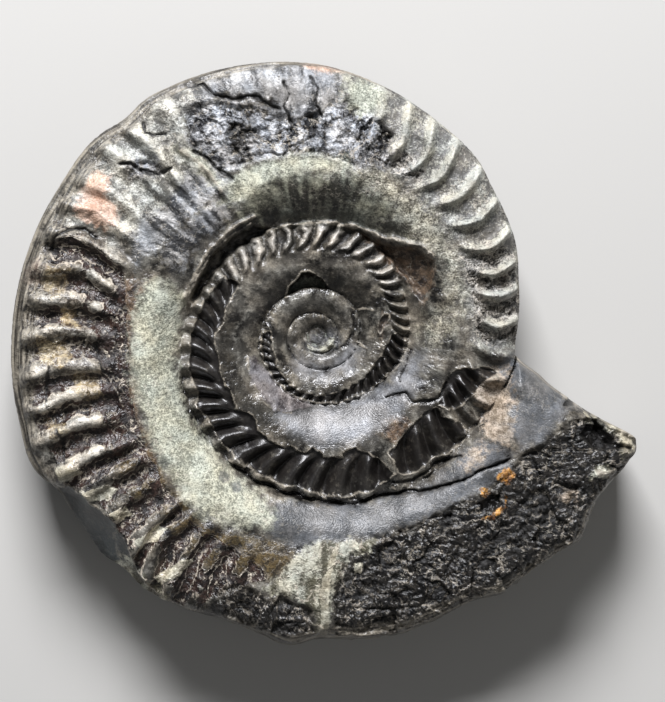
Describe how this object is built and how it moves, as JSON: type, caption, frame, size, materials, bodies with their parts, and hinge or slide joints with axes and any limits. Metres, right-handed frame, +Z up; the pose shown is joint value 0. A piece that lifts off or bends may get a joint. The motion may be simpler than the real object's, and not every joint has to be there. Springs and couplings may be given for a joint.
{
  "type": "ammonite fossil",
  "caption": "Coiled fossil ammonite with sickle-shaped ribs and a keeled outer edge, broken off at the mouth, lying on its matrix-filled far side.",
  "frame": {"origin": "middle of the underside of the whole fossil's box, on the surface that it rests on", "axes": "+Z up, out of the preserved side of the coil; +X towards the broken mouth, along the longest extent; +Y completes the right-handed frame"},
  "size_m": [0.13, 0.1206, 0.0272],
  "materials": {
    "fossil_stone": "dark glossy calcite shell with pale grey-green and cream patches"
  },
  "bodies": {
    "root": {"ammonite": "fossil_stone"}
  },
  "joints": []
}
